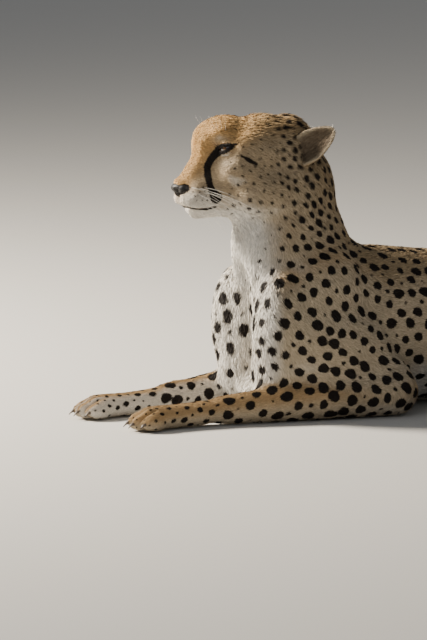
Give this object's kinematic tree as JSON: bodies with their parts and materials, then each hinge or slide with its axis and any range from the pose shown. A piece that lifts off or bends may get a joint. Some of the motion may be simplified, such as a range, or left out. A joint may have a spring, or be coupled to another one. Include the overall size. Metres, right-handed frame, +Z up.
{
  "type": "cheetah",
  "caption": "Life-size lying cheetah with raised head, forelegs stretched out, hind legs folded and tail curled round on the floor.",
  "frame": {"origin": "middle of the whole animal's box, at the floor that it lies on", "axes": "+Z up, the animal faces -X, its left side faces -Y"},
  "size_m": [1.144, 0.4672, 0.4546],
  "materials": {
    "tawny_coat": "short matt fur, tawny with dark spots",
    "pale_coat": "longer soft fur, off-white",
    "nose_skin": "damp dark leather",
    "eye": "wet gloss"
  },
  "bodies": {
    "root": {"abdomen": "tawny_coat", "chest": "pale_coat", "ear_left": "tawny_coat", "ear_right": "tawny_coat", "eye_left": "eye", "eye_right": "eye", "forearm_left": "tawny_coat", "forearm_right": "tawny_coat", "forepaw_left": "tawny_coat", "forepaw_right": "tawny_coat", "head": "tawny_coat", "hind_foot_left": "tawny_coat", "hind_foot_right": "tawny_coat", "lower_jaw": "pale_coat", "neck": "tawny_coat", "nose": "nose_skin", "rump": "tawny_coat", "shank_left": "tawny_coat", "shank_right": "tawny_coat", "tail_1": "tawny_coat", "tail_2": "tawny_coat", "tail_3": "tawny_coat", "tail_4": "tawny_coat", "tail_5": "tawny_coat", "thigh_left": "tawny_coat", "thigh_right": "tawny_coat", "upper_arm_left": "tawny_coat", "upper_arm_right": "tawny_coat"}
  },
  "joints": []
}
